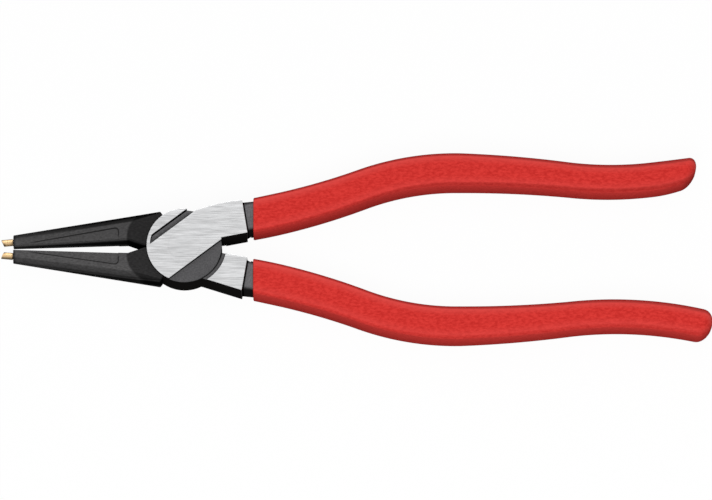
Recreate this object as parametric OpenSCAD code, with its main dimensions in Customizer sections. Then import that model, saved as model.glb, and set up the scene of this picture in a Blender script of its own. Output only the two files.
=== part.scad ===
// Circlip pliers for retaining rings in bores: two crossed levers on a lap joint,
// each with a round backed jaw, a pressed in tip pin and a dipped grip sleeve.
// X runs from the joint to the grips, Y across the levers and Z through the joint.
// The origin lies on the pivot axis, on the ground back face of the joint.

/* [Joint] */
// Thickness through the ground faces of the joint
joint_t = 12; // [11.4:0.1:13]
// Radius of the round lap disc on each lever
disc_r = 11.9; // [11:0.1:12.6]
// Radial room between a lap disc and the recess that it turns in
swing_gap = 0.15; // [0.15:0.05:0.5]
// Room between the two flat lap faces
lap_gap = 0.1; // [0.04:0.02:0.2]
// Direction of the raised ground band across a disc, in degrees
band_angle = 37.5; // [30:0.5:45]
// Distance from the pivot to the near wall of the groove beside the band
groove_off = 6.8; // [6.5:0.1:8]
// Width of the groove
groove_w = 2.1; // [0.8:0.1:2.4]
// Depth of the groove
groove_d = 2.4; // [0.6:0.1:3]
// Width of the rim between the closed end of the groove and the edge of the disc
groove_rim = 1.1; // [0.8:0.1:3]
// Distance from the pivot to the step down to the unground segment
step_off = 5.7; // [5.3:0.1:7]
// Depth of the unground segment below the ground face
step_d = 1.6; // [0.5:0.1:2]
// Width of the unground ring on the handle around the other disc
ring_w = 1.5; // [0.5:0.1:2.5]
// Depth of the unground ring
ring_d = 0.9; // [0.4:0.1:1.6]

/* [Rivet] */
// Radius of the rivet's shank
rivet_r = 4; // [3:0.1:4.5]
// Radius of the countersunk head at the ground face
head_r = 5; // [4.6:0.1:5.2]
// Depth of the countersunk head
head_h = 1.4; // [0.8:0.1:2]
// Radial clearance of the rivet in the lever that turns on it
run_gap = 0.05; // [0.02:0.01:0.1]
// Radial clearance of pressed in pieces in the lever that holds them
press_gap = 0.01; // [0.01:0.01:0.03]

/* [Jaws] */
// Distance from the pivot to the flat nose of the jaws
nose_x = 54.2; // [45:0.1:65]
// Radius of the round nose around the tip pin
nose_r = 2.25; // [2:0.05:2.6]
// Distance from the mid-plane to the tip pin at the nose
tip_y = 2.3; // [2.1:0.05:2.6]
// Half of the gap between the closed jaws at the nose
nose_gap = 0.65; // [0.4:0.05:0.9]
// Distance from the pivot to the widest place between the closed jaws
throat_x = 17.8; // [16:0.1:20]
// Half of the gap between the closed jaws at the throat
throat_gap = 2.35; // [1.5:0.05:3]
// Distance from the pivot to the place where the jaws close up behind the throat
apex_x = 11.6; // [11:0.1:12]
// Half of the gap between the closed jaws at the joint
root_gap = 0.15; // [0.1:0.05:0.3]
// Thickness of the jaws at the root
jaw_t = 9.7; // [8.5:0.1:10]
// Distance from the pivot to the end of the thick root
root_x = 17.3; // [15:0.1:19]
// Outer edge of the jaw at the end of the root, from the mid-plane
root_y = 10.1; // [9:0.1:11]
// Edge radius of the jaw's round back at the end of the root
root_round = 2.6; // [1.5:0.1:3.5]
// Outer edge of the jaw at the shoulder, from the mid-plane
shoulder_y = 11.5; // [10.6:0.05:12]
// Edge radius of the jaw at the shoulder
shoulder_round = 0.4; // [0.2:0.1:1]
// Direction of the shoulder face from the pivot, in degrees
shoulder_angle = 124.5; // [120:0.5:130]

/* [Jaw panels] */
// Distance from the pivot to the end wall of the milled panel
panel_x = 20.8; // [20:0.1:24]
// Length of the milled panel
panel_len = 29; // [20:0.5:30]
// Slope of the panel's floor, in degrees
panel_slope = 3.2; // [2.4:0.1:3.8]
// Direction of the panel's outer wall, in degrees
panel_angle = 9.3; // [8:0.1:9.8]
// Radius of the panel's corner
panel_round = 1.3; // [0.6:0.1:2]
// Distance from the mid-plane to the centre of the panel's corner
panel_y = 4.55; // [4:0.05:5]

/* [Tips] */
// Radius of a tip pin outside the jaw
tip_r = 1.1; // [0.9:0.05:1.2]
// Radius of a tip pin's turned down shank inside the jaw
shank_r = 0.85; // [0.7:0.05:0.85]
// Length of a tip pin outside the jaw, on its long side
tip_out = 3.8; // [2.5:0.1:6]
// Length of a tip pin inside the jaw
tip_in = 9; // [6:0.5:12]
// Direction of a tip pin towards the mid-plane, in degrees
tip_angle = 5.5; // [0:0.5:8]
// Slant of the end of a tip pin, in degrees
tip_slant = 20; // [0:1:30]

/* [Handles] */
// Distance from the pivot to the end of the ground pad, along X
pad_x = 19.1; // [18:0.05:21]
// Distance from the mid-plane to the middle of the pad's end
pad_y = 9.4; // [8.5:0.05:10]
// Width of the ground pad at its end
pad_w = 10.9; // [10.4:0.1:12]
// Slant of the pad's end, in degrees
pad_skew = 9.3; // [7:0.1:12]
// Direction of the outer edge of the front lever's pad, in degrees
front_edge = 14.9; // [13:0.1:18]
// Rise of the middle of that edge above a straight line
front_bulge = 0.7; // [0:0.1:1.2]
// Direction of the outer edge of the rear lever's pad, in degrees
rear_edge = 17.7; // [13:0.1:18]
// Rise of the middle of that edge above a straight line
rear_bulge = 0; // [0:0.1:1.2]
// Direction of the handle at the pad's end and of the pad's inner edge, in degrees
handle_angle = 11; // [9:0.5:13]
// Length of bare steel between the pad and the grip
neck_len = 2.75; // [1.5:0.05:5]
// Length of the handle's outward flare
flare_len = 35.8; // [25:0.1:45]
// Turn of the flare, in degrees
flare_bend = 9.7; // [6:0.1:13]
// Length of the bow that turns the handle back in
bow_len = 31.6; // [25:0.1:45]
// Turn of the bow, in degrees
bow_bend = 21.6; // [16:0.1:26]
// Length of the stretch to the waist
waist_len = 34.8; // [25:0.1:45]
// Turn of the stretch to the waist, in degrees
waist_bend = 5.7; // [2:0.1:8]
// Length of the tail on the front lever
front_tail = 40.5; // [30:0.1:55]
// Length of the tail on the rear lever
rear_tail = 45; // [30:0.1:55]
// Turn of the tail, in degrees
tail_bend = 20.8; // [14:0.1:28]
// Length of the grip's end without steel in it
tang_short = 12; // [6:0.5:20]

/* [Grips] */
// Thickness of the grips
grip_t = 11.2; // [10:0.1:11.4]
// Wall of the dipped sleeve
grip_wall = 0.9; // [0.6:0.1:1.4]
// Room between the sleeve and the steel tang
grip_gap = 0.02; // [0.01:0.01:0.1]
// Width of the grip at its front end
front_w = 11.3; // [10.8:0.1:13]
// Width of the grip at the end of the flare
flare_w = 10.7; // [10:0.1:12.5]
// Width of the grip at the end of the bow
bow_w = 10.7; // [9.8:0.1:12]
// Width of the grip at the waist
waist_w = 9.3; // [8.8:0.1:11]
// Width of the grip at its tail
tail_w = 9.1; // [8.8:0.1:11]
// Edge radius of the grip at its front end
front_round = 0.9; // [0.6:0.1:2]
// Edge radius of the grip at its tail
tail_round = 1.8; // [1:0.1:3.5]
// Radius of the rounded end of the grip
end_round = 4; // [2:0.1:4.2]
// Slant of the end of the front lever's grip, with its inner side shorter, in degrees
front_skew = 28; // [-10:1:30]
// Slant of the end of the rear lever's grip, in degrees
rear_skew = -6; // [-10:1:30]
// Length of the grip in front of its rounded end over which the slant grows
skew_len = 10; // [8:0.5:14]

/* [Hidden] */
steel_colour = [0.2, 0.2, 0.21];
rivet_colour = [0.8, 0.8, 0.8];
grip_colour = [0.78, 0.16, 0.14];
tip_colour = [0.85, 0.68, 0.35];
$fn = 96;
hull_fn = 32;
over = 1;
slice = 0.01;
path_step = 4;
edge_steps = 5;
end_steps = 6;
corner_steps = 6;
half_t = joint_t / 2;
recess_r = disc_r + swing_gap;
tang_t = grip_t - 2 * grip_wall;
end_share = 0.45;
tip_seat = tip_r * tan(tip_angle) + press_gap;
pad_normal = [-sin(pad_skew), cos(pad_skew)];

// One stretch of the handle's centre line, as a point and a heading
function along(p, len, bend, s) =
    bend == 0
    ? [p.x + s * cos(p.z), p.y + s * sin(p.z), p.z]
    : let (turn = bend * s / len, r = len / (bend * PI / 180))
      [p.x + r * (sin(p.z + turn) - sin(p.z)), p.y - r * (cos(p.z + turn) - cos(p.z)), p.z + turn];

// The stretches of a handle, each a length and a turn
function stretches(tail_len) = [
    [neck_len, 0],
    [flare_len, flare_bend],
    [bow_len, -bow_bend],
    [waist_len, -waist_bend],
    [tail_len, tail_bend]
];

// Length of the first n stretches
function run(st, n) = n == 0 ? 0 : st[n - 1][0] + run(st, n - 1);

// Length of all the stretches
function whole(st) = run(st, len(st));

// Point and heading at the end of the first n stretches
function knot(st, n) =
    n == 0 ? [pad_x, pad_y, handle_angle] : along(knot(st, n - 1), st[n - 1][0], st[n - 1][1], st[n - 1][0]);

// Point and heading at a distance s from the end of the pad
function centre(st, s, i = 0) =
    i == len(st) - 1 || s <= run(st, i + 1)
    ? along(knot(st, i), st[i][0], st[i][1], s - run(st, i))
    : centre(st, s, i + 1);

// Width of the grip at a distance s from the end of the pad
function grip_width(st, s) = lookup(s, [
    [run(st, 1), front_w],
    [run(st, 2), flare_w],
    [run(st, 3), bow_w],
    [run(st, 4), waist_w],
    [whole(st), tail_w]
]);

// Edge radius of the grip at a distance s from the end of the pad
function grip_round(st, s) = lookup(s, [[run(st, 1), front_round], [whole(st), tail_round]]);

// Slant of the grip's ring at a distance s from the end of the pad
function ring_skew(st, skew, s) =
    let (full = whole(st) - end_round)
    lookup(s, [[full - skew_len, 0], [full, skew]]);

// Rounded rectangle of width w across the handle and thickness t
function ring(w, t, r) = [
    for (q = [0:3], k = [0:edge_steps])
        let (a = 90 * (q + k / edge_steps), cu = (q == 0 || q == 3) ? w / 2 - r : r - w / 2,
             cv = q < 2 ? t / 2 - r : r - t / 2)
        [cu + r * cos(a), cv + r * sin(a)]
];

// The ring set square to the centre line at c, turned to the heading h
function placed(points, c, h) = [for (p = points) [c.x - p.x * sin(h), c.y + p.x * cos(h), p.y]];

// Outline of the steel tang grown by g, from a distance s0 to a distance s1
function tang_outline(st, s0, s1, g) = [
    for (side = [1, -1])
        let (n = ceil((s1 - s0) / path_step))
        for (k = [0:n])
            let (s = side > 0 ? s0 + (s1 - s0) * k / n : s1 - (s1 - s0) * k / n,
                 p = centre(st, s), u = side * (grip_width(st, s) / 2 - grip_wall + g))
            [p.x - u * sin(p.z), p.y + u * cos(p.z)]
];

// Half thickness of the flat jaw face at x
function face_z(x) = nose_r + (x + nose_x) * (jaw_t / 2 - nose_r) / (nose_x - root_x);

// A body on the front lever, and the same body turned over for the rear lever
module on_front() {
    translate([0, 0, half_t]) children();
}

module on_rear() {
    translate([0, 0, half_t]) rotate([180, 0, 0]) children();
}

// A skin over rings of points, with flat ends
module skin(rings) {
    n = len(rings[0]);
    last = len(rings) - 1;
    points = [for (r = rings, p = r) p];
    sides = [
        for (i = [0:last - 1], k = [0:n - 1])
            [i * n + k, i * n + (k + 1) % n, (i + 1) * n + (k + 1) % n, (i + 1) * n + k]
    ];
    ends = [[for (k = [n - 1:-1:0]) k], [for (k = [0:n - 1]) last * n + k]];
    polyhedron(points, concat(sides, ends));
}

// Lap disc with its raised ground band and its unground segment
module lap_disc() {
    difference() {
        translate([0, 0, lap_gap / 2]) cylinder(r = disc_r, h = half_t - lap_gap / 2);
        rotate(band_angle)
            translate([-2 * disc_r, -step_off - 2 * disc_r, half_t - step_d])
                cube([4 * disc_r, 2 * disc_r, step_d + over]);
    }
}

// Groove beside the band, closed at the disc's rim and open at the handle
module groove() {
    rotate(band_angle)
        intersection() {
            translate([-disc_r, groove_off, half_t - groove_d])
                cube([3 * disc_r, groove_w, groove_d + over]);
            union() {
                cylinder(r = disc_r - groove_rim, h = joint_t);
                cube(3 * disc_r);
            }
        }
}

// Full thickness handle shoulder with its two ground pads and a bulging outer edge
module handle_pad(edge, bulge) {
    outer = [pad_x, pad_y] + pad_w / 2 * pad_normal;
    inner = [pad_x, pad_y] - pad_w / 2 * pad_normal;
    rim = [
        for (k = [0:edge_steps])
            let (t = k / edge_steps, rise = 4 * bulge * t * (1 - t))
            outer - pad_x * t * [cos(edge), sin(edge)] + rise * [-sin(edge), cos(edge)]
    ];
    back = inner - pad_x / 2 * [cos(handle_angle), sin(handle_angle)];
    difference() {
        linear_extrude(joint_t, center = true) polygon(concat([inner], rim, [back]));
        translate([0, 0, -half_t - over]) cylinder(r = disc_r + ring_w, h = ring_d + over);
    }
}

// Steel tang of the handle, from inside the pad to near the end of the grip
module tang(st) {
    linear_extrude(tang_t, center = true)
        polygon(tang_outline(st, -neck_len, whole(st) - tang_short, 0));
}

// Cross section of a jaw: a flat inner side and a back with rounded edges
module jaw_section(x, y_in, y_out, t, edge_r) {
    for (side = [-1, 1])
        translate([-x, y_out - edge_r, side * (t / 2 - edge_r)])
            rotate([0, 90, 0]) cylinder(r = edge_r, h = slice, $fn = hull_fn);
    translate([-x, y_in, -t / 2]) cube([slice, slice, t]);
}

// Outline of the milled panel in the plan of the jaw
module panel_outline() {
    corner = [-panel_x - panel_round, panel_y];
    arc = [
        for (k = [0:corner_steps])
            let (a = (90 + panel_angle) * k / corner_steps)
            corner + panel_round * [cos(a), sin(a)]
    ];
    back = arc[corner_steps] - panel_len * [cos(panel_angle), sin(panel_angle)];
    polygon(concat([[-panel_x, -over]], arc, [back, [back.x, -over]]));
}

// Both milled panels of a jaw, running out to nothing near the nose
module panels() {
    start = panel_x + panel_len;
    for (side = [0, 1])
        mirror([0, 0, side])
            translate([-start, 0, face_z(-start)])
                rotate([0, -panel_slope, 0])
                    translate([start, 0, 0]) linear_extrude(joint_t) panel_outline();
}

// Place of a tip pin, with its axis along X and its nose end at the origin
module at_tip() {
    translate([-nose_x, tip_y, 0]) rotate(tip_angle) rotate([0, 90, 0]) children();
}

// Upper jaw on the side of +Y, with its root cut to the shoulder face
module jaw() {
    shoulder_x = disc_r / 2;
    plan = [
        [-nose_x, nose_gap],
        [-throat_x, throat_gap],
        [-apex_x, root_gap],
        [0, root_gap],
        2 * disc_r * [cos(shoulder_angle), sin(shoulder_angle)],
        [-nose_x, 2 * disc_r]
    ];
    difference() {
        intersection() {
            union() {
                hull() {
                    jaw_section(nose_x, 0, tip_y + nose_r, 2 * nose_r, nose_r);
                    jaw_section(root_x, 0, root_y, jaw_t, root_round);
                }
                hull() {
                    jaw_section(root_x, 0, root_y, jaw_t, root_round);
                    jaw_section(shoulder_x, 0, shoulder_y, jaw_t, shoulder_round);
                }
            }
            linear_extrude(joint_t, center = true) polygon(plan);
        }
        panels();
        at_tip() translate([0, 0, -over]) cylinder(r = shank_r + press_gap, h = tip_in + over);
    }
}

// Hole for the rivet with its countersink, in a lever's own half of the joint
module rivet_hole(gap) {
    rotate_extrude()
        polygon([
            [0, -over],
            [rivet_r + gap, -over],
            [rivet_r + gap, half_t - head_h],
            [head_r + gap, half_t],
            [head_r + gap, half_t + over],
            [0, half_t + over]
        ]);
}

// One lever: handle towards +Y, jaw towards -Y and disc towards +Z, with or without the groove
module lever(st, gap, edge, bulge, grooved) {
    difference() {
        union() {
            lap_disc();
            difference() {
                union() {
                    handle_pad(edge, bulge);
                    tang(st);
                    mirror([0, 1, 0]) jaw();
                }
                translate([0, 0, -half_t - over]) cylinder(r = recess_r, h = half_t + over + lap_gap / 2);
            }
        }
        if (grooved) groove();
        rivet_hole(gap);
    }
}

// Dipped sleeve over the tang, cut square at the front, with a slanted round end
module grip(st, skew) {
    s0 = run(st, 1);
    s1 = whole(st);
    straight = s1 - s0 - end_round;
    n = ceil(straight / path_step);
    body = [
        for (k = [0:n])
            let (s = s0 + straight * k / n, p = centre(st, s), square = min(1, (s - s0) / (2 * path_step)),
                 heading = p.z * square - ring_skew(st, skew, s))
            placed(ring(grip_width(st, s), grip_t, grip_round(st, s)), p, heading)
    ];
    end = [
        for (k = [1:end_steps])
            let (a = 90 * k / end_steps, s = s1 - end_round * (1 - sin(a)), p = centre(st, s),
                 inset = end_round * (1 - cos(a)), w = grip_width(st, s) - 2 * inset, t = grip_t - 2 * inset)
            placed(ring(w, t, min(grip_round(st, s), end_share * w)), p, p.z - skew)
    ];
    difference() {
        skin(concat(body, end));
        linear_extrude(tang_t + 2 * grip_gap, center = true)
            polygon(tang_outline(st, s0 - neck_len, s1 - tang_short + grip_gap, grip_gap));
    }
}

// Tip pin with a slanted end and a shoulder that seats on the nose, in the jaw of one lever
module tip() {
    mirror([0, 1, 0]) at_tip() {
        translate([0, 0, -tip_out / 2]) cylinder(r = shank_r, h = tip_in + tip_out / 2);
        difference() {
            translate([0, 0, -tip_out]) cylinder(r = tip_r, h = tip_out - tip_seat);
            translate([0, tip_r, -tip_out])
                rotate([-tip_slant, 0, 0])
                    translate([0, 0, -tip_out]) cube(2 * tip_out, center = true);
        }
    }
}

module front_lever() {
    color(steel_colour) on_front() lever(stretches(front_tail), run_gap, front_edge, front_bulge, true);
}

module rear_lever() {
    color(steel_colour) on_rear() lever(stretches(rear_tail), press_gap, rear_edge, rear_bulge, false);
}

module pivot_rivet() {
    color(rivet_colour)
        rotate_extrude()
            polygon([
                [0, 0],
                [head_r, 0],
                [rivet_r, head_h],
                [rivet_r, joint_t - head_h],
                [head_r, joint_t],
                [0, joint_t]
            ]);
}

module front_grip() {
    color(grip_colour) on_front() grip(stretches(front_tail), front_skew);
}

module rear_grip() {
    color(grip_colour) on_rear() grip(stretches(rear_tail), rear_skew);
}

module front_tip() {
    color(tip_colour) on_front() tip();
}

module rear_tip() {
    color(tip_colour) on_rear() tip();
}

front_lever();
rear_lever();
pivot_rivet();
front_grip();
rear_grip();
front_tip();
rear_tip();
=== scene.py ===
"""Looks of a pair of circlip pliers: steel levers, dipped grips, gold tip pins and a plain studio.

Lengths in the size classes are millimetres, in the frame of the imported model. X runs from the joint
to the grips, Y across the levers and Z through the joint, with the origin on the pivot axis.
"""

import logging
import math
from dataclasses import dataclass
from enum import Enum
from itertools import accumulate
from typing import Callable, Iterable, Iterator, NamedTuple

import bmesh
import bpy
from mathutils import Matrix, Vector


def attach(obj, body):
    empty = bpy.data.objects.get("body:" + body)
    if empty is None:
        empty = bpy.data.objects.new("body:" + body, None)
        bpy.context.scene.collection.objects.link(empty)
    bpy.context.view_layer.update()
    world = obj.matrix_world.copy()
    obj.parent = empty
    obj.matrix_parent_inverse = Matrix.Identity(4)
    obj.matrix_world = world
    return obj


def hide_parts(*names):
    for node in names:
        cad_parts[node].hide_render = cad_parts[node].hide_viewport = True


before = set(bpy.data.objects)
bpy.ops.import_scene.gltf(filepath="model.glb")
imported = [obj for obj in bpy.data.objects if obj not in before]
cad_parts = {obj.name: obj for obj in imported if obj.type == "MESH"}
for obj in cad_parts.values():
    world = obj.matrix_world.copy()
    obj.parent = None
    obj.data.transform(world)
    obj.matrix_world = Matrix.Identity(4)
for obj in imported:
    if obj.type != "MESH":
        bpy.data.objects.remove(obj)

MM = 0.001
log = logging.getLogger("pliers")

Colour = tuple[float, float, float]
Edge = bmesh.types.BMEdge
Span = tuple[float, float]
Shares = tuple[Span, ...]
Material = bpy.types.Material
Mesh = bpy.types.Mesh
Node = bpy.types.Node
Piece = bpy.types.Object
Socket = bpy.types.NodeSocket

WHITE: Colour = (1.0, 1.0, 1.0)


class Half(Enum):
    """The two halves of the pliers, which are nearly one shape turned over about X."""

    FRONT = "front"
    REAR = "rear"

    @property
    def body(self) -> str:
        """Name of the body that the half's pieces ride on."""
        return f"{self.value}_half"

    @property
    def flip(self) -> int:
        """Sign of Y on this half: the front half has its handle on +Y."""
        return 1 if self is Half.FRONT else -1

    def node(self, piece: str) -> str:
        """Name of one of the half's nodes."""
        return f"{self.value}_{piece}"


class Region(Enum):
    """The differently finished regions of a lever, in the order of its material slots."""

    GROUND = 0
    SCALE = 1
    WALL = 2
    JAW = 3
    GROOVE = 4


@dataclass(frozen=True)
class Joint:
    """Sizes of the lap joint that the looks depend on."""

    thickness: float = 12.0
    disc_r: float = 11.9
    rivet_r: float = 5.0

    @property
    def mid(self) -> float:
        """Height of the mid-plane of the pliers."""
        return self.thickness / 2


@dataclass(frozen=True)
class PadEnd:
    """Plan of the slanted end of each ground pad, with the neck behind it, the painted shadow in the corner
    at the pad's end and the painted shade on the neck's rims.
    """

    x: float = 19.1
    y: float = 9.4
    skew: float = math.radians(9.3)
    line: float = 0.42
    fade: float = 0.2
    heading: float = math.radians(11.0)
    half: float = 4.4
    rim: float = 0.85
    rim_shade: float = 0.14


@dataclass(frozen=True)
class JawRoot:
    """Plan of the darker root of each jaw, which ends in an arc."""

    x: float = -9.8
    y: float = 3.0
    radius: float = 8.4
    fade: float = 0.6
    shade: float = 0.34


@dataclass(frozen=True)
class JawPanel:
    """Plan of the milled panel on each jaw, which has a painted shadow line along its wall."""

    end_x: float = -20.8
    corner_y: float = 4.55
    corner_r: float = 1.3
    slope: float = math.radians(9.3)
    length: float = 29.0
    line: float = 0.24
    line_shade: float = 0.25
    start_share: float = 0.12
    end_y: float = 2.8
    end_fade: float = 0.9


@dataclass(frozen=True)
class JawEdge:
    """Plan of the painted light on the upper part of the jaws' walls, below the edge of the flats."""

    mid: float = Joint().mid
    nose_x: float = -54.2
    nose_half: float = 2.25
    root_x: float = -17.3
    root_half: float = 4.85
    depth: float = 3.2
    tone: float = 0.15
    fall: float = 1.3
    upright: float = 0.3


def on_number(operation: str) -> Callable[..., "Value"]:
    """Makes a method of Value from an operation of the Math node.

    Args:
        operation: Blender's name of the operation.

    Returns:
        A method that takes the operation's other numbers.
    """

    def method(self: "Value", *others: object) -> "Value":
        """Adds the Math node and gives its result."""
        return self.wires.math(operation, self, *others)

    return method


class Value:
    """A number in a node tree, which is reckoned with like a plain number."""

    __add__ = on_number("ADD")
    __sub__ = on_number("SUBTRACT")
    __mul__ = on_number("MULTIPLY")
    __truediv__ = on_number("DIVIDE")
    __pow__ = on_number("POWER")
    __abs__ = on_number("ABSOLUTE")
    __lt__ = on_number("LESS_THAN")
    __gt__ = on_number("GREATER_THAN")
    at_least = on_number("MAXIMUM")
    at_most = on_number("MINIMUM")
    floor = on_number("FLOOR")
    root = on_number("SQRT")
    sign = on_number("SIGN")

    def __init__(self, wires: "Wiring", socket: Socket) -> None:
        """Takes hold of a node's output."""
        self.wires = wires
        self.socket = socket

    def __rsub__(self, other: float) -> "Value":
        """Difference from a plain number."""
        return self.wires.math("SUBTRACT", other, self)

    def clamp(self) -> "Value":
        """Keeps the result of a Math node from 0 to 1."""
        self.socket.node.use_clamp = True
        return self

    def rise(self, run: float, start: float = 0.0) -> "Value":
        """Rises from 0 at a start to 1 at the end of a run."""
        return ((self - start) / run).clamp()

    def between(self, low: float, high: float) -> "Value":
        """Maps 0 to 1 onto a range of numbers."""
        return Value(self.wires, self.wires.add("ShaderNodeMapRange", self, 0.0, 1.0, low, high).outputs[0])


class Axes(NamedTuple):
    """The parts of a place or a direction."""

    x: Value
    y: Value
    z: Value


class Wiring:
    """A node tree in the making, with short ways to add its nodes."""

    def __init__(self, tree: bpy.types.NodeTree) -> None:
        """Starts on a tree."""
        self.tree = tree

    def add(self, kind: str, *inputs: object, **settings: object) -> Node:
        """Adds a node.

        Args:
            kind: Blender's name of the node's type.
            inputs: What goes into its first inputs.
            settings: Properties to set on it.

        Returns:
            The new node.
        """
        node = self.tree.nodes.new(kind)
        for key, value in settings.items():
            setattr(node, key, value)
        for target, value in zip(node.inputs, inputs):
            self.feed(target, value)
        return node

    def feed(self, target: Socket, value: object) -> None:
        """Sets an input from a plain value, or joins it to an output.

        Args:
            target: The input.
            value: A number, a vector, a Value or an output.
        """
        source = value.socket if isinstance(value, Value) else value
        if isinstance(source, Socket):
            self.tree.links.new(source, target)
        else:
            target.default_value = source

    def join(self, node: Node, **inputs: object) -> Node:
        """Feeds inputs of a node by their names, written with _ for a space.

        Args:
            node: The node.
            inputs: What goes into each.

        Returns:
            The same node.
        """
        for name, value in inputs.items():
            self.feed(node.inputs[name.replace("_", " ")], value)
        return node

    def math(self, operation: str, *values: object) -> Value:
        """Adds a Math node and gives its result."""
        return Value(self, self.add("ShaderNodeMath", *values, operation=operation).outputs[0])


class Finish(Wiring):
    """A procedural material: each kind of finish names its sizes and paints itself.

    Its place is in millimetres, and its normal is the direction that the place faces.
    """

    name: str
    rough: Span = (0.5, 0.7)
    depth: float
    noise_roughness: float = 0.6

    def __init__(self) -> None:
        """Starts the material and paints it."""
        self.material = bpy.data.materials.new(self.name)
        self.material.use_nodes = True
        super().__init__(self.material.node_tree)
        self.bsdf = self.tree.nodes["Principled BSDF"]
        self.coords = self.add("ShaderNodeTexCoord")
        self.normal = self.axes("Normal")
        self.place = Axes(*(part / MM for part in self.axes("Object")))
        self.paint()

    def paint(self) -> None:
        """Paints the finish."""
        raise NotImplementedError

    def axes(self, output: str) -> Axes:
        """Splits an output of the Texture Coordinate node."""
        parts = self.add("ShaderNodeSeparateXYZ", self.coords.outputs[output])
        return Axes(*(Value(self, part) for part in parts.outputs))

    def distance(self, x: float = 0.0, y: float = 0.0) -> Value:
        """Distance in plan from a point on +Y, or on the other half from its mirror image."""
        u, v = self.place.x - x, abs(self.place.y) - y
        return (u * u + v * v).root()

    def noise(self, x: float, y: float = 0.0, z: float = 0.0, detail: float = 3.0) -> Value:
        """Adds noise on Object coordinates.

        Args:
            x: Pitch along X in millimetres.
            y: Pitch along Y, or 0 for that along X.
            z: Pitch along Z, or 0 for that along X.
            detail: Number of octaves.

        Returns:
            The noise from 0 to 1.
        """
        scale = [1 / ((pitch or x) * MM) for pitch in (x, y, z)]
        mapping = self.join(self.add("ShaderNodeMapping", self.coords.outputs["Object"]), Scale=scale)
        node = self.add("ShaderNodeTexNoise", mapping.outputs[0])
        self.join(node, Scale=1.0, Detail=detail, Roughness=self.noise_roughness)
        return Value(self, node.outputs["Fac"])

    def ramp(self, factor: Value, stops: Iterable[tuple[float, Colour]]) -> Value:
        """Adds a colour ramp.

        Args:
            factor: Place on the ramp.
            stops: Places and colours, in order.

        Returns:
            The colour.
        """
        node = self.add("ShaderNodeValToRGB", factor)
        elements = node.color_ramp.elements
        stops = list(stops)
        while len(elements) < len(stops):
            elements.new(0.5)
        for element, (place, colour) in zip(elements, stops):
            element.position = place
            element.color = (*colour, 1.0)
        return Value(self, node.outputs["Color"])

    def shades(self, factor: Value, shares: Shares, hue: Colour = WHITE) -> Value:
        """Adds a ramp of shades of one hue, given as places and shares of the hue."""
        return self.ramp(factor, ((place, tuple(share * part for part in hue)) for place, share in shares))

    def mix(self, factor: Value, first: object, second: object) -> Value:
        """Mixes two colours, by the share of the second."""
        node = self.join(self.add("ShaderNodeMix", data_type="RGBA"), Factor=factor, A=first, B=second)
        return Value(self, node.outputs["Result"])

    def tint(self, colour: object, shade: Value) -> Value:
        """Multiplies a colour by a grey shade."""
        node = self.join(self.add("ShaderNodeVectorMath", colour, operation="SCALE"), Scale=shade)
        return Value(self, node.outputs[0])

    def surface(self, colour: Value, rough: Value, relief: Value, metal: bool = False) -> None:
        """Sets the surface, with a relief of the finish's depth.

        Args:
            colour: Its colour.
            rough: Its grain from 0 to 1, which makes the roughness.
            relief: Its relief from 0 to 1.
            metal: Whether it shines as bare metal, or else is matte.
        """
        bump = self.join(self.add("ShaderNodeBump"), Height=relief, Strength=1.0, Distance=self.depth * MM)
        rough = rough.between(*self.rough)
        self.join(self.bsdf, Base_Color=colour, Roughness=rough, Normal=bump.outputs["Normal"])
        self.join(self.bsdf, **({"Metallic": 1.0} if metal else {"Specular IOR Level": 0.0}))


class GroundSteel(Finish):
    """Bright steel, ground along X."""

    name = "ground_steel"
    colour: Colour = (0.585, 0.588, 0.595)
    line_length: float = 9.0
    line_pitch: float = 0.45
    fine_pitch: float = 0.3
    down_pitch: float = 5.0
    shade: Span = (0.2, 1.8)
    rough = (0.34, 0.5)
    depth = 0.012

    def paint(self) -> None:
        """Paints the grinding lines."""
        coarse = self.noise(self.line_length, self.line_pitch, self.down_pitch, detail=2.0)
        fine = self.noise(self.line_length / 2, self.fine_pitch, self.down_pitch)
        lines = (coarse + fine) * 0.5
        self.surface(self.tint(self.colour, lines.between(*self.shade)), fine, lines, metal=True)


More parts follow.
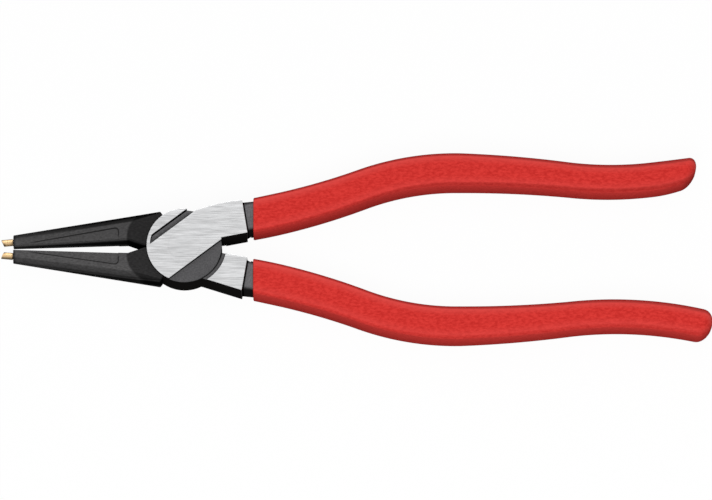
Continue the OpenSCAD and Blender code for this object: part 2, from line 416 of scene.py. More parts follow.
class ScaleSteel(Finish):
    """Unground grey steel of the segment, the ring and the necks, with painted shade on its round edges."""

    name = "grey_scale"
    colour: Colour = (0.108, 0.106, 0.11)
    shares: Shares = ((0.0, 0.5), (0.6, 0.55), (0.85, 0.75), (0.99, 1.0))
    neck: float = 1.5
    # darkest painted shadow: in the seam round the lap disc and in the corner where the neck leaves the pad
    shadow_shade: float = 0.06
    seam_r: float = 12.1
    seam: float = 0.42
    pad: PadEnd = PadEnd()
    grain: float = 0.45
    grains: Span = (0.4, 1.6)
    cloud: float = 5.4
    clouds: Span = (0.7, 1.3)
    depth = 0.01

    def paint(self) -> None:
        """Paints the fine grain, with painted shade by the direction that the steel faces."""
        grain = self.noise(self.grain)
        mixed = grain * self.noise(self.cloud).between(*self.clouds)
        shade = mixed.between(*self.grains) * self.neck_tone_and_shade() * self.seam_shadow()
        # painted shade: the steel is darker as it turns away from facing up
        facing = self.shades(abs(self.normal.z), self.shares, self.colour)
        self.surface(self.tint(facing, shade), grain, grain)

    def seam_shadow(self) -> Value:
        """Paints shadow into the seam round the edge of the lap disc, with a shade that is 1 away from it."""
        return abs(self.distance() - self.seam_r).rise(self.seam).between(self.shadow_shade, 1.0)

    def neck_tone_and_shade(self) -> Value:
        """Lightens the neck, paints shade on its rims, and paints shadow in the corner where it leaves the
        pad.

        Returns:
            A shade that is 1 off the neck.
        """
        plan = self.pad
        u = self.place.x - plan.x
        v = abs(self.place.y) - plan.y
        beyond = u * math.cos(plan.skew) + v * math.sin(plan.skew)
        # painted shadow in the corner at the foot of the pad's end
        bare = beyond.rise(plan.fade, plan.line).between(self.shadow_shade, self.neck)
        across = v * math.cos(plan.heading) - u * math.sin(plan.heading)
        # painted shade on the neck's round rims
        inside = (plan.half - abs(across)).rise(plan.rim)
        off = beyond < 0.0
        return off + bare * inside.between(plan.rim_shade, 1.0) * (1.0 - off)


class GrooveScale(ScaleSteel):
    """Paler grey steel at the bottom of the groove."""

    name = "groove_scale"
    colour = (0.17, 0.168, 0.174)


class ShadedWallSteel(Finish):
    """Unground steel of the side walls, dark in itself and made near black by painted shade."""

    name = "wall_steel_in_shade"
    # near-black colour: the dark steel with painted shade, as it turns sideways from the light
    colour: Colour = (0.0092, 0.0085, 0.0082)
    grain: float = 0.35
    grains: Span = (0.6, 1.4)
    depth = 0.008

    def paint(self) -> None:
        """Paints the fine grain."""
        grain = self.noise(self.grain)
        self.surface(self.tint(self.colour, grain.between(*self.grains)), grain, grain)


class JawSteel(Finish):
    """Blackened steel of the jaws, with painted light and shade: lighter on the flats than on the round
    backs.
    """

    name = "black_jaw"
    # painted shade by the direction faced, on the near side and on the far side
    near: Shares = (
        (0.0, 0.0075), (0.11, 0.0105), (0.4, 0.02), (0.55, 0.0335),
        (0.66, 0.038), (0.93, 0.042), (0.985, 0.074),
    )
    far: Shares = (
        (0.0, 0.006), (0.75, 0.006), (0.8, 0.0075), (0.88, 0.018),
        (0.975, 0.021), (0.99, 0.045), (0.998, 0.074),
    )
    far_run: float = 24.0
    hue: Colour = (1.0, 0.975, 0.985)
    lower: float = 1.22
    nose_rim: float = 0.9
    nose_shade: float = 0.5
    panel: JawPanel = JawPanel()
    root: JawRoot = JawRoot()
    edge: JawEdge = JawEdge()
    grain: float = 0.45
    grains: Span = (0.3, 1.7)
    depth = 0.008

    def paint(self) -> None:
        """Paints the steel with painted shade by the direction that it faces, painted light on the upper
        walls, the panel's painted shadow line and its darker root and nose.
        """
        grain = self.noise(2 * self.grain, self.grain, self.grain)
        shade = grain.between(*self.grains) * (self.place.y < 0.0).between(1.0, self.lower)
        shade = shade * self.panel_shadow_line() * self.root_tone() * self.nose_tone()
        # painted light on the upper walls, added to the colour
        wall_glow = self.tint(self.hue, self.painted_edge_tone())
        total = self.add("ShaderNodeVectorMath", self.back_tone(), wall_glow, operation="ADD")
        self.surface(self.tint(total.outputs[0], shade), grain, grain)

    def back_tone(self) -> Value:
        """Picks the colour with painted shade by the direction that a place faces.

        Returns:
            The colour, with more painted shade on the edges towards +Y.
        """
        facing = abs(self.normal.z)
        share = self.place.x.rise(self.far_run, self.edge.nose_x)
        near, far = (self.shades(facing, shares, self.hue) for shares in (self.near, self.far))
        return self.mix((self.normal.y > 0.0) * share, near, far)

    def painted_edge_tone(self) -> Value:
        """Paints light on the walls below the edges of the flats.

        Returns:
            The painted light to add.
        """
        plan = self.edge
        climb = (plan.root_half - plan.nose_half) / (plan.root_x - plan.nose_x)
        along = self.place.x.at_most(plan.root_x) - plan.nose_x
        under = along * climb + plan.nose_half - abs(self.place.z - plan.mid)
        share = (1.0 - under.rise(plan.depth)) ** plan.fall
        upright = 1.0 - abs(self.normal.z).rise(plan.upright)
        return share * (upright * abs(self.normal.y)) * plan.tone

    def nose_tone(self) -> Value:
        """Darkens the rim of the nose, with a shade that is 1 behind it."""
        half = self.nose_rim / 2
        return self.place.x.rise(half, self.edge.nose_x + half).between(self.nose_shade, 1.0)

    def root_tone(self) -> Value:
        """Darkens the root.

        Returns:
            A shade that is 1 on the rest of the jaw.
        """
        plan = self.root
        beyond = self.distance(plan.x, plan.y).rise(plan.fade, plan.radius - plan.fade / 2)
        return (beyond * (1.0 - (self.place.x > plan.x))).between(plan.shade, 1.0)

    def panel_shadow_line(self) -> Value:
        """Paints a shadow line along the wall of the milled panel, round the corner and part of the way in.

        Returns:
            A shade that is 1 away from the line.
        """
        plan = self.panel
        x = self.place.x
        y = abs(self.place.y)
        u = x - (plan.end_x - plan.corner_r)
        out = (y - plan.corner_y) * math.cos(plan.slope) - u * math.sin(plan.slope)
        outside = (u.at_least(0.0) ** 2.0 + out.at_least(0.0) ** 2.0).root()
        distance = outside + u.at_least(out).at_most(0.0) - plan.corner_r
        dark = (1.0 - (abs(distance) / plan.line) ** 2.0).clamp()
        fade = x.rise(plan.length * plan.start_share, plan.end_x - plan.length)
        short = (plan.end_y + plan.end_fade - y).rise(plan.end_fade)
        shown = fade * (1.0 - short * (u > 0.0))
        return 1.0 - dark * shown * (1.0 - plan.line_shade)


class DippedVinyl(Finish):
    """Red dipped grip with a fine matte grain."""

    name = "dipped_vinyl"
    colour: Colour = (0.58, 0.027, 0.023)
    light: Colour = (0.775, 0.051, 0.0425)
    tones: Span = (0.41, 0.59)
    # colour of the painted highlight along the edges of the faces
    painted_highlight: Colour = (0.78, 0.085, 0.075)
    painted_highlight_run: float = 4.0
    painted_highlight_far: float = 2.0
    painted_highlight_shares: Shares = (
        (0.0, 0.3), (0.05, 0.15), (0.12, 0.1), (0.3, 0.36), (0.5, 0.2), (0.85, 0.0),
    )
    near_rear: float = 0.45
    # painted shade on the near round edges; far_shares paints it on the far ones
    near_shares: Shares = (
        (0.0, 1.0), (0.12, 1.0), (0.3, 0.84), (0.5, 0.72), (0.72, 0.69), (0.88, 0.77), (1.0, 1.0),
    )
    far_shares: Shares = ((0.0, 1.0), (0.1, 0.9), (0.3, 0.7), (0.8, 0.75), (1.0, 0.92))
    # painted shade on the sides, growing towards the foot
    foot_z: float = 0.4
    foot: float = 9.0
    foot_shade: float = 0.56
    grain: float = 0.2
    cloud: float = 0.6
    cloud_share: float = 0.6
    rough = (0.4, 0.56)
    depth = 0.015

    def paint(self) -> None:
        """Paints the grain and the cloudy colour, with a painted highlight along the edges of the faces."""
        grain = self.noise(self.grain, detail=2.0)
        cloud = self.noise(2 * self.cloud, self.cloud, self.cloud)
        mixed = cloud * self.cloud_share + grain * (1 - self.cloud_share)
        red = self.ramp(mixed, zip(self.tones, (self.colour, self.light)))
        # painted highlight along the edges of the faces
        red = self.mix(self.painted_highlight_share(), red, (*self.painted_highlight, 1.0))
        self.surface(self.tint(red, self.painted_edge_tone()), grain, grain)

    def painted_edge_tone(self) -> Value:
        """Paints shade on the round edges and, towards the foot, on the sides.

        Returns:
            A shade that is 1 on the faces.
        """
        far = self.shades(self.normal.y.at_least(0.0), self.far_shares)
        near = self.shades((self.normal.y * -1.0).at_least(0.0), self.near_shares)
        weight = (self.place.y > 0.0).between(self.near_rear, 1.0)
        near = 1.0 - (1.0 - near) * weight
        side = (1.0 - abs(self.normal.z)).clamp()
        low = (1.0 - self.place.z.rise(self.foot, self.foot_z)) * side
        return far * near * low.between(1.0, self.foot_shade)

    def attribute(self, name: str) -> Value:
        """Reads a length that the sleeve keeps, in millimetres."""
        return Value(self, self.add("ShaderNodeAttribute", attribute_name=name).outputs["Fac"]) / MM

    def painted_highlight_share(self) -> Value:
        """Finds the strips of painted highlight inside the edges of the sleeve's faces.

        Returns:
            The share of the painted highlight's colour.
        """
        across = self.attribute("across")
        margin = self.attribute("width") * 0.5 - abs(across)
        strip = self.shades(margin.rise(self.painted_highlight_run), self.painted_highlight_shares)
        return (strip * (across > 0.0).between(1.0, self.painted_highlight_far)).clamp()


class GoldCoat(Finish):
    """Gold coated tip pins."""

    name = "gold_coat"
    colour: Colour = (0.8, 0.575, 0.32)
    deep: Colour = (0.42, 0.27, 0.1)
    tones: Span = (0.2, 0.5)
    shares: Shares = ((0.0, 0.38), (0.5, 0.5), (0.8, 0.9), (1.0, 1.0))
    outer: Shares = ((0.0, 1.0), (0.35, 1.0), (0.65, 0.5), (1.0, 0.3))
    # painted shade at the inner corner of each pin's end
    spot: Span = (-57.1, 1.2)
    spot_r: float = 0.75
    spot_shade: float = 0.08
    ring: float = 0.12
    ring_run: float = 2.5
    cloud: float = 0.8
    clouds: Span = (0.6, 1.5)
    rough = (0.5, 0.62)
    depth = 0.01

    def paint(self) -> None:
        """Paints turning marks round the pin, with painted shade down its sides and on its outer side."""
        rings = self.noise(self.ring, self.ring_run, self.ring_run, detail=2.0)
        cloud = self.noise(self.cloud)
        mixed = rings * cloud.between(*self.clouds)
        away = (self.normal.y * self.place.y.sign()).at_least(0.0)
        # painted shade by the direction faced, and more on the outer side
        shade = self.shades(abs(self.normal.z), self.shares) * self.shades(away, self.outer)
        gold = self.ramp(mixed, zip(self.tones, (self.deep, self.colour)))
        self.surface(self.tint(gold, shade * self.corner_shade()), cloud, rings, metal=True)

    def corner_shade(self) -> Value:
        """Paints shade on the corner at the end of each pin, with a shade that is 1 on the rest of it."""
        return self.distance(*self.spot).rise(self.spot_r).between(self.spot_shade, 1.0)


@dataclass(frozen=True)
class Finishes:
    """The finishes of all the pieces, each made once, with the levers' in the order of Region."""

    lever: tuple[Material, ...]
    grip: Material
    tip: Material

    @classmethod
    def make(cls) -> "Finishes":
        """Makes every finish."""
        steels = (GroundSteel, ScaleSteel, ShadedWallSteel, JawSteel, GrooveScale)
        return cls(tuple(steel().material for steel in steels), DippedVinyl().material, GoldCoat().material)


def dress_piece(piece: Piece, half: Half, node: str, slot: str, *materials: Material) -> None:
    """Gives a piece its materials, and lets it stand for a node and ride on its half.

    Args:
        piece: The finished piece.
        half: The half that it belongs to.
        node: Name of the node that it replaces.
        slot: The record's material slot; it is not used.
        materials: Materials that the piece hasn't got yet, in the order of its slots.
    """
    for material in materials:
        piece.data.materials.append(material)
    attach(piece, half.body)
    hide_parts(node)
    log.info("%s: %d faces, rides on %s", piece.name, len(piece.data.polygons), half.body)


def new_piece(name: str, mesh: Mesh) -> Piece:
    """Links a new object to the scene.

    Args:
        name: Name of the piece.
        mesh: Its mesh, in place.

    Returns:
        The object.
    """
    piece = bpy.data.objects.new(name, mesh)
    bpy.context.scene.collection.objects.link(piece)
    return piece


def baked(source: Piece) -> Mesh:
    """Takes the mesh that an object's modifiers make, and removes the object.

    Args:
        source: The object.

    Returns:
        A plain mesh.
    """
    graph = bpy.context.evaluated_depsgraph_get()
    mesh = bpy.data.meshes.new_from_object(source.evaluated_get(graph))
    source.modifiers.clear()
    bpy.data.objects.remove(source)
    return mesh


def smooth_piece(name: str, mesh: Mesh, sharp: float, weight: int = 80) -> Piece:
    """Links a mesh as a piece that is smooth, with flat faces kept flat up to their broken edges.

    Args:
        name: Name of the piece.
        mesh: Its mesh, in place.
        sharp: Angle in degrees from which an edge is sharp.
        weight: How much the large faces count in the normals.

    Returns:
        The object.
    """
    mesh.shade_smooth()
    mesh.set_sharp_from_angle(angle=math.radians(sharp))
    source = new_piece("smooth_source", mesh)
    modifier = source.modifiers.new("Normals", "WEIGHTED_NORMAL")
    modifier.keep_sharp = True
    modifier.weight = weight
    return new_piece(name, baked(source))


class NodeMesh:
    """A copy of a node's mesh to work on, with its triangles merged into whole faces."""

    flat: float = 0.2

    def __init__(self, node: str, weld: float) -> None:
        """Copies the mesh and merges its faces.

        Args:
            node: Name of the node.
            weld: Distance in millimetres within which corners are one.
        """
        self.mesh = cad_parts[node].data.copy()
        self.mesh.materials.clear()
        self.work = bmesh.new()
        self.work.from_mesh(self.mesh)
        verts, edges = self.work.verts, self.work.edges
        bmesh.ops.remove_doubles(self.work, verts=verts, dist=weld * MM)
        bmesh.ops.dissolve_limit(self.work, angle_limit=math.radians(self.flat), verts=verts, edges=edges)

    def round_edges(self, edges: list[Edge], radius: float, steps: int, clamp: bool = False) -> None:
        """Rounds edges.

        Args:
            edges: The edges.
            radius: Radius in millimetres.
            steps: Number of facets round each edge.
            clamp: Whether roundings that would meet are kept apart.
        """
        bmesh.ops.bevel(
            self.work,
            geom=edges,
            offset=radius * MM,
            offset_type="OFFSET",
            segments=steps,
            profile=0.5,
            affect="EDGES",
            clamp_overlap=clamp,
        )

    def finish(self) -> Mesh:
        """Ends the work.

        Returns:
            The mesh.
        """
        self.work.to_mesh(self.mesh)
        self.work.free()
        return self.mesh


@dataclass
class Lever:
    """One forged steel lever with its jaw, its lap disc, its ground pads and its tang."""

    half: Half
    joint: Joint = Joint()
    panel: JawPanel = JawPanel()
    panel_front: float = -53.0
    panel_inner: float = 2.6
    panel_margin: float = 0.1
    jaw_x: float = -3.0
    edge: float = 0.14
    edge_steps: int = 2
    edge_share: float = 1.2
    hole_margin: float = 0.2
    neck_x: float = 17.0
    neck_half: float = 4.7
    neck_edge: float = 0.4
    neck_steps: int = 4
    neck_turn: float = 60.0
    groove_half: float = 3.6
    lap_half: float = 2.0
    near: float = 0.05
    ground_facing: float = 0.3
    scale_facing: float = 0.6
    groove_facing: float = 0.9
    broken: float = 28.0
    sharp: float = 50.0
    weld: float = 0.002

    def build(self) -> Piece:
        """Copies the lever's node, breaks its edges and sorts its faces by region.

        Returns:
            The piece, in place.
        """
        copy = NodeMesh(self.half.node("lever"), self.weld)
        rounded = [edge for edge in copy.work.edges if self.is_neck(edge)]
        broken = [edge for edge in copy.work.edges if self.is_broken(edge) and edge not in rounded]
        copy.round_edges(broken, self.edge, self.edge_steps)
        copy.round_edges([edge for edge in rounded if edge.is_valid], self.neck_edge, self.neck_steps)
        copy.work.normal_update()
        for face in copy.work.faces:
            face.material_index = self.region(face.calc_center_median() / MM, face.normal).value
        return smooth_piece(self.half.node("lever_steel"), copy.finish(), self.sharp)

    def turns(self, edge: Edge, angle: float) -> bool:
        """Tells whether the faces at an edge turn by an angle in degrees or more."""
        return len(edge.link_faces) == 2 and edge.calc_face_angle(0.0) >= math.radians(angle)

    def is_neck(self, edge: Edge) -> bool:
        """Tells whether an edge runs along the neck and the tang.

        Args:
            edge: An edge of the merged mesh.

        Returns:
            True for a long outer edge behind the pad.
        """
        if not self.turns(edge, self.neck_turn) or not edge.is_convex:
            return False
        ends = [vert.co / MM for vert in edge.verts]
        level = all(abs(abs(end.z - self.joint.mid) - self.neck_half) < self.near for end in ends)
        return level and min(end.x for end in ends) > self.neck_x

    def is_broken(self, edge: Edge) -> bool:
        """Tells whether an edge of the lever is a sharp one that is broken in finishing.

        Args:
            edge: An edge of the merged mesh.

        Returns:
            True for a sharp edge outside the rivet's hole and the jaw's panel.
        """
        if not self.turns(edge, self.broken):
            return False
        middle = (edge.verts[0].co + edge.verts[1].co) / (2 * MM)
        in_hole = math.hypot(middle.x, middle.y) < self.joint.rivet_r + self.hole_margin
        return not in_hole and not self.on_panel(middle)

    def on_panel(self, place: Vector) -> bool:
        """Tells whether a place lies on the walls of the jaw's panel.

        Args:
            place: The place, in millimetres.

        Returns:
            True on the walls, away from the jaw's inner side and its nose.
        """
        along = place.x - self.panel.end_x
        outer = self.panel.corner_y + along * math.tan(self.panel.slope) + 2 * self.panel.corner_r
        beside = place.x > self.panel_front and along < self.panel_margin
        return beside and self.panel_inner < abs(place.y) < outer

    def region(self, place: Vector, normal: Vector) -> Region:
        """Sorts a face of the lever by its finish.

        Args:
            place: Middle of the face, in millimetres.
            normal: Direction that the face looks in.

        Returns:
            The region.
        """
        height = abs(place.z - self.joint.mid)
        facing = abs(normal.z)
        if math.hypot(place.x, place.y) > self.joint.disc_r + self.near and place.x < self.jaw_x:
            return Region.JAW
        if height > self.joint.mid - self.edge_share * self.edge and facing > self.ground_facing:
            return Region.GROUND
        if place.x > self.neck_x and height < self.joint.mid - self.edge:
            return Region.SCALE
        if height < self.lap_half:
            return Region.WALL
        if abs(height - self.groove_half) < self.edge / 2 and facing > self.groove_facing:
            return Region.GROOVE
        # faces that turn sideways take the wall steel, which is painted in shade
        return Region.SCALE if facing > self.scale_facing else Region.WALL

    def dress(self, finishes: Finishes) -> None:
        """Builds the lever and gives it its finishes."""
        dress_piece(self.build(), self.half, self.half.node("lever"), "steel", *finishes.lever)


class Ring(NamedTuple):
    """One cross section of a grip: its place along the handle and its rounded rectangle."""

    along: float
    width: float
    height: float
    edge: float


@dataclass
class Handle:
    """Centre line of a handle: a chain of arcs from the end of the ground pad."""

    tail: float
    pad: PadEnd = PadEnd()
    neck: float = 2.75
    flare: Span = (35.8, 9.7)
    bow: Span = (31.6, -21.6)
    waist: Span = (34.8, -5.7)
    tail_bend: float = 20.8

    def stretches(self) -> list[Span]:
        """Length and turn in degrees of each stretch."""
        return [(self.neck, 0.0), self.flare, self.bow, self.waist, (self.tail, self.tail_bend)]

    def ends(self) -> list[float]:
        """Distance of the end of each stretch along the handle."""
        return list(accumulate(length for length, _ in self.stretches()))

    def at(self, distance: float) -> tuple[float, float, float]:
        """Follows the centre line.

        Args:
            distance: Distance from the end of the pad.

        Returns:
            X, Y and the heading in radians.
        """
        x, y, heading = self.pad.x, self.pad.y, self.pad.heading
        left = distance
        for length, turn in self.stretches():
            part = min(left, length)
            lean = math.radians(turn) * part / length / 2
            chord = part * math.sin(lean) / lean if lean else part
            x += chord * math.cos(heading + lean)
            y += chord * math.sin(heading + lean)
            heading += 2 * lean
            left -= part
        return x, y, heading


def blend_at(distance: float, table: Shares) -> float:
    """Reads a value between its known places.

    Args:
        distance: Place to read at.
        table: Known places and values, in order.

    Returns:
        The value.
    """
    for (a, low), (b, high) in zip(table, table[1:]):
        if distance <= b:
            return low + (high - low) * max(0.0, (distance - a) / (b - a))
    return table[-1][1]


class SweepTree(Wiring):
    """Geometry Nodes tree that sweeps a rounded rectangle along a line of rings.

    Each point of the line is the middle of a ring. Its attributes give the ring's heading, width,
    height and edge radius. The sleeve keeps the width and the distance across for its finish.
    """

    def __init__(self) -> None:
        """Builds the tree and its named inputs."""
        super().__init__(bpy.data.node_groups.new("Grip Sweep", "GeometryNodeTree"))
        face = self.tree.interface
        face.new_socket("Rings", in_out="INPUT", socket_type="NodeSocketGeometry")
        self.steps = face.new_socket("Corner Steps", in_out="INPUT", socket_type="NodeSocketInt")
        self.finish = face.new_socket("Finish", in_out="INPUT", socket_type="NodeSocketMaterial")
        face.new_socket("Sleeve", in_out="OUTPUT", socket_type="NodeSocketGeometry")
        self.build()

    def named(self, name: str) -> Value:
        """Reads a ring's attribute by name."""
        node = self.join(self.add("GeometryNodeInputNamedAttribute", data_type="FLOAT"), Name=name)
        return Value(self, node.outputs["Attribute"])

    def capture(self, curve: Socket, kind: str, name: str, source: str) -> tuple[Socket, Socket]:
        """Keeps a number or a place with each point of a curve.

        Args:
            curve: The curve.
            kind: Blender's name of the kind of value.
            name: Name for the kept value.
            source: Blender's name of the node that gives the value.

        Returns:
            The curve and the kept value.
        """
        node = self.add("GeometryNodeCaptureAttribute", domain="POINT")
        node.capture_items.new(kind, name)
        self.join(node, Geometry=curve, **{name: self.add(source).outputs[0]})
        return node.outputs["Geometry"], node.outputs[name]

    def build(self) -> None:
        """Lays out the sweep."""
        rings, steps, finish, _ = self.add("NodeGroupInput").outputs
        side = Value(self, steps) + 1.0
        line = self.add("GeometryNodeMeshToCurve", rings).outputs[0]
        line, middle = self.capture(line, "VECTOR", "Middle", "GeometryNodeInputPosition")
        circle = self.add("GeometryNodeCurvePrimitiveCircle", mode="RADIUS")
        self.join(circle, Radius=MM, Resolution=side * 4.0)
        profile, count = self.capture(circle.outputs["Curve"], "INT", "Count", "GeometryNodeInputIndex")
        sweep = self.add("GeometryNodeCurveToMesh")
        self.join(sweep, Curve=line, Profile_Curve=profile, Fill_Caps=True)
        across, up = self.outline(Value(self, count), side, steps)
        marked = self.add("GeometryNodeStoreNamedAttribute", data_type="FLOAT", domain="POINT")
        self.join(marked, Geometry=sweep.outputs[0], Name="across", Value=across)
        moved = self.add("GeometryNodeSetPosition")
        self.join(moved, Geometry=marked.outputs[0], Position=self.point(middle, across, up))
        real = self.add("GeometryNodeRealizeInstances", moved.outputs[0])
        paint = self.add("GeometryNodeSetMaterial")
        self.join(paint, Geometry=real.outputs[0], Material=finish)
        self.add("NodeGroupOutput", paint.outputs[0])

    def outline(self, count: Value, side: Value, steps: Socket) -> list[Value]:
        """Works out a point of the rounded rectangle.

        Args:
            count: Number of the point round the ring.
            side: Points in each corner.
            steps: Steps in each corner.

        Returns:
            The distance across the handle and the height above its mid-plane.
        """
        corner = (count / side).floor()
        angle = (corner + (count - corner * side) / steps) * (math.pi / 2)
        lean = (corner + 0.5) * (math.pi / 2)
        edge = self.named("edge")
        result = []
        for size, wave in (("width", "COSINE"), ("height", "SINE")):
            straight = self.named(size) * 0.5 - edge
            result.append(edge * self.math(wave, angle) + self.math(wave, lean).sign() * straight)
        return result

    def point(self, middle: Socket, across: Value, up: Value) -> Socket:
        """Sets a point of a ring square to the ring's heading.

        Args:
            middle: Middle of the ring.
            across: Distance across the handle.
            up: Height above the mid-plane.

        Returns:
            The point's position.
        """
        heading = self.named("heading")
        x = across * (self.math("SINE", heading) * -1.0)
        offset = self.add("ShaderNodeCombineXYZ", x, across * self.math("COSINE", heading), up)
        return self.add("ShaderNodeVectorMath", middle, offset.outputs[0], operation="ADD").outputs[0]


@dataclass
class Grip:
    """Dipped grip sleeve of one half, open at the front and round at the end."""

    half: Half
    handle: Handle
    skew: float
    joint: Joint = Joint()
    thickness: float = 11.2
    wall: float = 0.85
    widths: tuple[float, ...] = (11.3, 10.7, 10.7, 9.3, 9.1)
    edges: Span = (0.9, 1.8)
    end_round: float = 4.0
    skew_run: float = 10.0
    lip: float = 0.35
    tang_short: float = 12.0
    hollow_edge: float = 0.05
    square_run: float = 8.0
    step: float = 1.5
    lip_steps: int = 6
    round_steps: int = 12
    corner_steps: int = 6
    end_share: float = 0.45
    sharp: float = 50.0

    def __post_init__(self) -> None:
        """Finds the distances of the grip's front and of its end along the handle."""
        self.front, *_, self.end = self.handle.ends()

    def width(self, along: float) -> float:
        """Width of the grip at a place along the handle."""
        return blend_at(along, tuple(zip(self.handle.ends(), self.widths)))

    def edge(self, along: float) -> float:
        """Edge radius of the grip at a place along the handle."""
        return blend_at(along, tuple(zip((self.front, self.end), self.edges)))

    def slant(self, along: float) -> float:
        """Slant in degrees of a ring, which grows towards the rounded end."""
        full = self.end - self.end_round
        return blend_at(along, ((full - self.skew_run, 0.0), (full, self.skew)))

    def ring(self, along: float, inset: float) -> Ring:
        """A ring of the outer skin, drawn in by an inset."""
        width = self.width(along) - 2 * inset
        return Ring(along, width, self.thickness - 2 * inset, min(self.edge(along), self.end_share * width))

    def hollow_ring(self, along: float) -> Ring:
        """A ring of the hollow that the steel tang fills."""
        width = self.width(along) - 2 * self.wall
        return Ring(along, width, self.thickness - 2 * self.wall, self.hollow_edge)

    def rings(self) -> Iterator[Ring]:
        """Goes from the bottom of the hollow out over the lip and back along the skin to the end.

        Yields:
            The rings, in order.
        """
        bottom = self.end - self.tang_short
        count = math.ceil((bottom - self.front) / self.step)
        for k in range(count + 1):
            yield self.hollow_ring(bottom + (self.front - bottom) * k / count)
        for k in range(self.lip_steps + 1):
            a = math.pi / 2 * k / self.lip_steps
            yield self.ring(self.front + self.lip * (1 - math.cos(a)), self.lip * (1 - math.sin(a)))
        first = self.front + self.lip
        last = self.end - self.end_round
        count = math.ceil((last - first) / self.step)
        for k in range(1, count + 1):
            yield self.ring(first + (last - first) * k / count, 0.0)
        for k in range(1, self.round_steps + 1):
            a = math.pi / 2 * k / self.round_steps
            yield self.ring(last + self.end_round * math.sin(a), self.end_round * (1 - math.cos(a)))

    def line(self) -> Mesh:
        """Makes the line of ring middles with their sizes as attributes.

        Returns:
            A mesh of points and the edges between them.
        """
        rings = list(self.rings())
        points = []
        headings = []
        for ring in rings:
            x, y, heading = self.handle.at(ring.along)
            points.append((x * MM, self.half.flip * y * MM, self.joint.mid * MM))
            turned = min(1.0, (ring.along - self.front) / self.square_run)
            headings.append((heading * turned - math.radians(self.slant(ring.along))) * self.half.flip)
        mesh = bpy.data.meshes.new("grip_line")
        mesh.from_pydata(points, [(k, k + 1) for k in range(len(points) - 1)], [])
        columns = {size: [getattr(ring, size) * MM for ring in rings] for size in ("width", "height", "edge")}
        for name, values in {"heading": headings, **columns}.items():
            mesh.attributes.new(name, "FLOAT", "POINT").data.foreach_set("value", values)
        return mesh

    def build(self, sweep: SweepTree, finish: Material) -> Piece:
        """Sweeps the sleeve.

        Args:
            sweep: The tree that sweeps rings.
            finish: The grip's material.

        Returns:
            The piece, in place.
        """
        source = new_piece("grip_source", self.line())
        modifier = source.modifiers.new("Sweep", "NODES")
        modifier.node_group = sweep.tree
        modifier[sweep.steps.identifier] = self.corner_steps
        modifier[sweep.finish.identifier] = finish
        mesh = baked(source)
        work = bmesh.new()
        work.from_mesh(mesh)
        bmesh.ops.recalc_face_normals(work, faces=work.faces)
        work.to_mesh(mesh)
        work.free()
        return smooth_piece(self.half.node("grip_sleeve"), mesh, self.sharp)

    def dress(self, sweep: SweepTree, finishes: Finishes) -> None:
        """Builds the grip in its finish."""
        dress_piece(self.build(sweep, finishes.grip), self.half, self.half.node("grip"), "grip")


@dataclass
class TipPin:
    """Gold coated tip pin of one half."""

    half: Half
    edge: float = 0.12
    edge_steps: int = 3
    broken: float = 30.0
    sharp: float = 60.0
    weld: float = 0.001

    def build(self) -> Piece:
        """Copies the pin's node and rounds its edges.

        Returns:
            The piece, in place.
        """
        copy = NodeMesh(self.half.node("tip"), self.weld)
        limit = math.radians(self.broken)
        edges = [edge for edge in copy.work.edges if edge.calc_face_angle(0.0) > limit]
        copy.round_edges(edges, self.edge, self.edge_steps, clamp=True)
        return smooth_piece(self.half.node("tip_pin"), copy.finish(), self.sharp)

    def dress(self, finishes: Finishes) -> None:
        """Builds the pin and coats it."""
        dress_piece(self.build(), self.half, self.half.node("tip"), "tip", finishes.tip)


@dataclass
class PivotRivet:
    """Rivet of the joint, with its heads spread to their seams and ground flush with both faces."""

    node: str = "pivot_rivet"
    half: Half = Half.REAR
    joint: Joint = Joint()
    shank_r: float = 4.0
    head_h: float = 1.4
    front_r: float = 5.055
    rear_r: float = 5.015
    facets: int = 128
    sharp: float = 40.0

    def profile(self) -> list[Span]:
        """Radius and height of each ring, from the back head to the front head."""
        r, h, top = self.shank_r, self.head_h, self.joint.thickness
        return [(self.rear_r, 0.0), (r, h), (r, top - h), (self.front_r, top)]

    def build(self) -> Piece:
        """Turns the rivet from its profile.

        Returns:
            The piece, in place.
        """
        count = self.facets
        points = []
        faces = []
        for row, (radius, height) in enumerate(self.profile()):
            for k in range(count):
                a = 2 * math.pi * k / count
                points.append((radius * math.cos(a) * MM, radius * math.sin(a) * MM, height * MM))
                if row:
                    low, high = (row - 1) * count, row * count
                    after = (k + 1) % count
                    faces.append((low + k, low + after, high + after, high + k))
        faces.append(tuple(range(count - 1, -1, -1)))
        faces.append(tuple(range(len(points) - count, len(points))))
        mesh = bpy.data.meshes.new("rivet")
        mesh.from_pydata(points, [], faces)
        return smooth_piece("pivot_rivet_head", mesh, self.sharp)

    def dress(self, finishes: Finishes) -> None:
        """Builds the rivet in its finish."""
        dress_piece(self.build(), self.half, self.node, "rivet", finishes.lever[Region.GROUND.value])


class Softbox(NamedTuple):
    """A square soft light on a line from the target.

    Its level is the share of plain white light on a surface that faces it. A light with shine only
    makes highlights, and the others only light matte surfaces.
    """

    name: str
    azimuth: float
    elevation: float
    level: float
    shine: bool


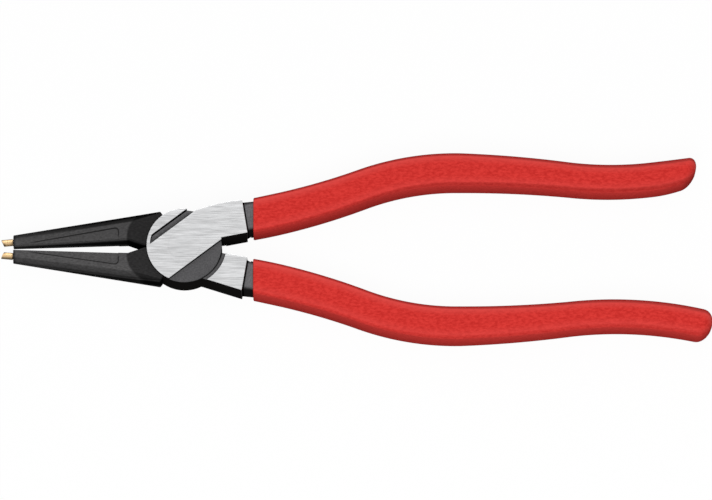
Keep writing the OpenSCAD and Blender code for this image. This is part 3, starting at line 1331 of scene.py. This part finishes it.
@dataclass
class Studio:
    """White table, soft lights and the camera.

    The sizes of the table and the lights, their distance and the end of the view are metres.
    """

    target: tuple[float, float, float] = (54.3, -0.14, 6.0)
    view_width: float = 225.5
    elevation: float = 75.0
    lens: float = 400.0
    sensor: float = 36.0
    clip_end: float = 100.0
    floor_size: float = 40.0
    floor_drop: float = 0.05
    floor_colour: float = 1.0
    floor_bounce: float = 0.2
    floor_glow: float = 0.95
    fill: float = 0.5
    lights: tuple[Softbox, ...] = (
        Softbox("key", 0.0, 60.0, 0.55, False),
        Softbox("rim", 180.0, 28.0, 0.5, True),
    )
    light_distance: float = 1.5
    light_size: float = 0.8

    def aim(self, thing: Piece, azimuth: float, elevation: float, distance: float) -> None:
        """Sets a light or a camera round the target and points it there.

        Args:
            thing: The light or camera.
            azimuth: Degrees round Z, from the side of -Y.
            elevation: Degrees above the table.
            distance: Distance in metres.
        """
        a, e = math.radians(azimuth), math.radians(elevation)
        direction = Vector((math.sin(a) * math.cos(e), -math.cos(a) * math.cos(e), math.sin(e)))
        thing.location = Vector(self.target) * MM + direction * distance
        thing.rotation_euler = (-direction).to_track_quat("-Z", "Y").to_euler()
        bpy.context.scene.collection.objects.link(thing)

    def seen(self, wires: Wiring) -> Value:
        """Tells rays from the camera, mirrors and glass from the others.

        Args:
            wires: The tree that asks.

        Returns:
            1 for those rays, 0 for others.
        """
        path = wires.add("ShaderNodeLightPath").outputs
        camera = Value(wires, path["Is Camera Ray"])
        return camera.at_least(path["Is Glossy Ray"]).at_least(path["Is Transmission Ray"])

    def floor(self) -> None:
        """Lays the table, white to the camera and keeping the shadow."""
        half = self.floor_size / 2
        z = -self.floor_drop * MM
        mesh = bpy.data.meshes.new("table")
        corners = [(-half, -half, z), (half, -half, z), (half, half, z), (-half, half, z)]
        mesh.from_pydata(corners, [], [(0, 1, 2, 3)])
        table = new_piece("table", mesh)
        material = bpy.data.materials.new("table_white")
        material.use_nodes = True
        wires = Wiring(material.node_tree)
        wires.tree.nodes.clear()
        seen = self.seen(wires)
        diffuse = wires.add("ShaderNodeBsdfDiffuse", seen.between(self.floor_bounce, self.floor_colour))
        glow = wires.add("ShaderNodeEmission")
        share = seen * self.floor_glow
        mix = wires.add("ShaderNodeMixShader", share, diffuse.outputs[0], glow.outputs[0])
        wires.add("ShaderNodeOutputMaterial", mix.outputs[0])
        mesh.materials.append(material)

    def world(self) -> None:
        """Surrounds the table with white, at the fill's strength for matte surfaces."""
        world = bpy.data.worlds.new("studio")
        world.use_nodes = True
        bpy.context.scene.world = world
        wires = Wiring(world.node_tree)
        strength = self.seen(wires).between(self.fill, 1.0)
        wires.join(wires.tree.nodes["Background"], Color=(*WHITE, 1.0), Strength=strength)

    def hang(self, box: Softbox) -> None:
        """Hangs a soft light.

        Args:
            box: What is known of the light.
        """
        lamp = bpy.data.lights.new(box.name, "AREA")
        lamp.size = self.light_size
        lamp.energy = box.level * math.pi**2 * self.light_distance**2
        light = bpy.data.objects.new(box.name, lamp)
        light.visible_glossy = box.shine
        light.visible_diffuse = not box.shine
        self.aim(light, box.azimuth, box.elevation, self.light_distance)

    def camera(self) -> None:
        """Sets the camera in the photograph's place."""
        data = bpy.data.cameras.new("camera")
        data.lens = self.lens
        data.sensor_width = self.sensor
        data.clip_end = self.clip_end
        camera = bpy.data.objects.new("camera", data)
        self.aim(camera, 0.0, self.elevation, self.lens * self.view_width / self.sensor * MM)
        bpy.context.scene.camera = camera

    def build(self) -> None:
        """Sets up the whole studio."""
        bpy.context.scene.view_settings.view_transform = "Standard"
        self.floor()
        self.world()
        for box in self.lights:
            self.hang(box)
        self.camera()
        log.info("studio: camera at %.0f degrees, %.0f mm lens", self.elevation, self.lens)


def main() -> None:
    """Builds and dresses the pliers, half by half, and sets up the studio."""
    logging.basicConfig(level=logging.INFO, format="%(name)s: %(message)s")
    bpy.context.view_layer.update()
    Studio().build()
    finishes = Finishes.make()
    sweep = SweepTree()
    tails = {Half.FRONT: 40.5, Half.REAR: 45.0}
    slants = {Half.FRONT: 28.0, Half.REAR: -6.0}
    for half in Half:
        Lever(half).dress(finishes)
        Grip(half, Handle(tails[half]), slants[half]).dress(sweep, finishes)
        TipPin(half).dress(finishes)
    PivotRivet().dress(finishes)


if __name__ == "__main__":
    main()
